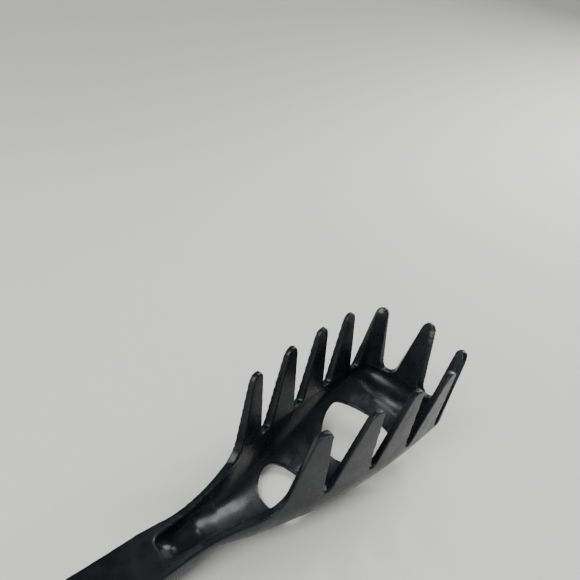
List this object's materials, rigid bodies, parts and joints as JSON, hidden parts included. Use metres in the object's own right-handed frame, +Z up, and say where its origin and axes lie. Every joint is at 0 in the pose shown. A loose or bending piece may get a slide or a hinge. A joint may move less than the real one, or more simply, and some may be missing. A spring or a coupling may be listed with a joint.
{
  "type": "pasta server",
  "caption": "Slotted scoop with a crown of upright tines round its rim, drain holes in its floor and a long flat-topped handle with a hanging slot.",
  "frame": {"origin": "middle of the tool's outline seen from above, at the height of the table that it rests on", "axes": "+X along the tool from the handle to the front tine, +Y to the left, +Z up; the tool lies on the underside of its scoop and handle"},
  "size_m": [0.307, 0.0604, 0.0617],
  "materials": {
    "black_nylon": "satin black nylon moulding, faintly blue-green, with light scuffs and worn edges"
  },
  "bodies": {
    "root": {"wall_left": "black_nylon", "wall_right": "black_nylon", "scoop_front": "black_nylon", "drain_bridge": "black_nylon", "bowl_heel": "black_nylon", "tine_front_centre": "black_nylon", "tine_front_side_left": "black_nylon", "tine_front_side_right": "black_nylon", "tine_side_1_left": "black_nylon", "tine_side_1_right": "black_nylon", "tine_side_2_left": "black_nylon", "tine_side_2_right": "black_nylon", "tine_side_3_left": "black_nylon", "tine_side_3_right": "black_nylon", "tine_side_4_left": "black_nylon", "tine_side_4_right": "black_nylon", "neck": "black_nylon", "handle_face": "black_nylon", "handle_skirt_left": "black_nylon", "handle_skirt_right": "black_nylon", "handle_rib_1": "black_nylon", "handle_rib_2": "black_nylon", "handle_rib_3": "black_nylon", "handle_rib_4": "black_nylon", "handle_rib_5": "black_nylon", "handle_rib_6": "black_nylon", "hanging_eye": "black_nylon"}
  },
  "joints": []
}
